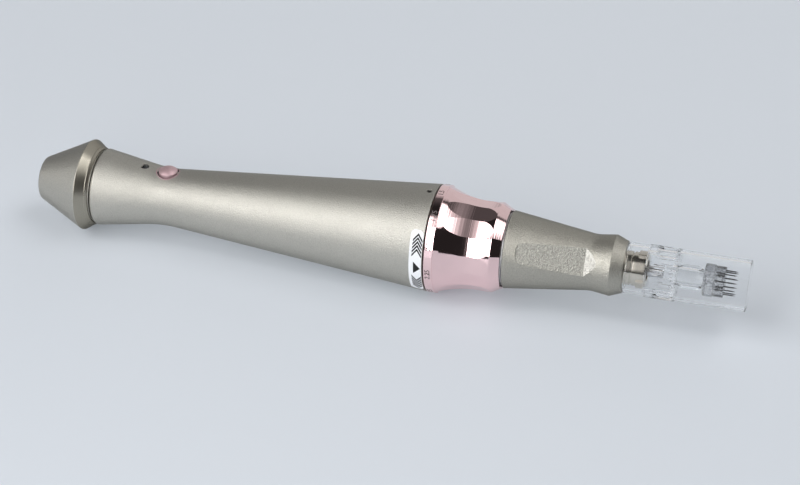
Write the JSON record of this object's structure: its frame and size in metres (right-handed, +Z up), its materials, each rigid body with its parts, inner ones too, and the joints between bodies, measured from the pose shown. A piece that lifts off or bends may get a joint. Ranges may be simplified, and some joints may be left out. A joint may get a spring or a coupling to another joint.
{
  "type": "microneedling pen",
  "caption": "Cordless microneedling pen with a cone-tailed tapered body, scalloped depth dial, keyed nozzle and clear bayonet needle cartridge.",
  "frame": {"origin": "on the pen's lowest level, under the middle of its overall length", "axes": "+X along the pen's axis towards the needles, +Z up through the power button, +Y to the left seen from the tail"},
  "size_m": [0.1776, 0.0264, 0.0265],
  "materials": {
    "champagne_aluminium": "satin bead-blasted, anodised champagne grey",
    "rose_metal": "polished rose gold plating",
    "polished_nickel": "polished nickel",
    "machined_aluminium": "as turned",
    "motor_steel": "zinc plated",
    "bright_steel": "ground bright",
    "bronze": "sintered bronze",
    "black_plastic": "moulded black",
    "black_rubber": "moulded black",
    "white_acetal": "moulded off-white",
    "board_green": "green lacquer",
    "cell_sleeve": "shrunk blue film",
    "lead_sleeve": "red wire sleeve",
    "smoked_lens": "smoked clear",
    "clear_plastic": "clear moulded plastic",
    "frosted_plastic": "frosted moulded plastic"
  },
  "bodies": {
    "body": {"rear_cone_cap": "champagne_aluminium", "cap_seal": "black_rubber", "main_housing": "champagne_aluminium", "button_bezel": "rose_metal", "status_led": "smoked_lens", "circuit_board": "board_green", "power_switch": "black_plastic", "inner_chassis": "black_plastic", "battery_cell": "cell_sleeve", "motor_lead_left": "lead_sleeve", "motor_lead_right": "lead_sleeve", "motor_end_cap": "black_plastic", "motor_can": "motor_steel", "motor_damper": "black_rubber", "motor_screw_left": "bright_steel", "motor_screw_right": "bright_steel", "front_frame": "machined_aluminium", "frame_screw": "bright_steel", "ring_seal": "black_rubber", "plunger_bush": "bronze", "return_spring": "bright_steel"},
    "button": {"power_button": "rose_metal"},
    "rotor": {"motor_shaft": "bright_steel", "drive_cam": "white_acetal"},
    "plunger": {"plunger": "bright_steel", "follower_ball": "bright_steel"},
    "dial": {"depth_ring": "rose_metal"},
    "nozzle": {"nozzle_grip": "champagne_aluminium", "nozzle_carrier": "machined_aluminium", "bayonet_nose": "polished_nickel"},
    "cartridge": {"cartridge_shell": "clear_plastic"},
    "needles": {"needle_carrier": "frosted_plastic", "needle_block": "bright_steel"}
  },
  "joints": [
    {"name": "power_button_press", "type": "slide", "parent": "body", "child": "button", "axis": [0, 0, -1], "range_m": [0, 0.0005], "stiffness_N_per_m": 1500},
    {"name": "motor_spin", "type": "hinge", "parent": "body", "child": "rotor", "pos_m": [0.01523, 0, 0.01325], "axis": [1, 0, 0], "continuous": true},
    {"name": "plunger_stroke", "type": "slide", "parent": "body", "child": "plunger", "axis": [1, 0, 0], "range_m": [0, 0.0047], "stiffness_N_per_m": 150, "deforming": ["return_spring"]},
    {"name": "depth_ring_turn", "type": "hinge", "parent": "body", "child": "dial", "pos_m": [0.02183, 0, 0.01325], "axis": [1, 0, 0], "range_deg": [-32.73, 294.55]},
    {"name": "nozzle_advance", "type": "slide", "parent": "body", "child": "nozzle", "axis": [1, 0, 0], "range_m": [-0.00025, 0.00225]},
    {"name": "cartridge_pull", "type": "slide", "parent": "nozzle", "child": "cartridge", "axis": [1, 0, 0], "range_m": [0, 0.014]},
    {"name": "needle_stroke", "type": "slide", "parent": "cartridge", "child": "needles", "axis": [1, 0, 0], "range_m": [0, 0.0047]}
  ],
  "couplings": [
    {"joint": "depth_ring_turn", "follows": "nozzle_advance", "rad_per_m": 2284.8},
    {"joint": "needle_stroke", "follows": "plunger_stroke", "ratio": 1}
  ]
}
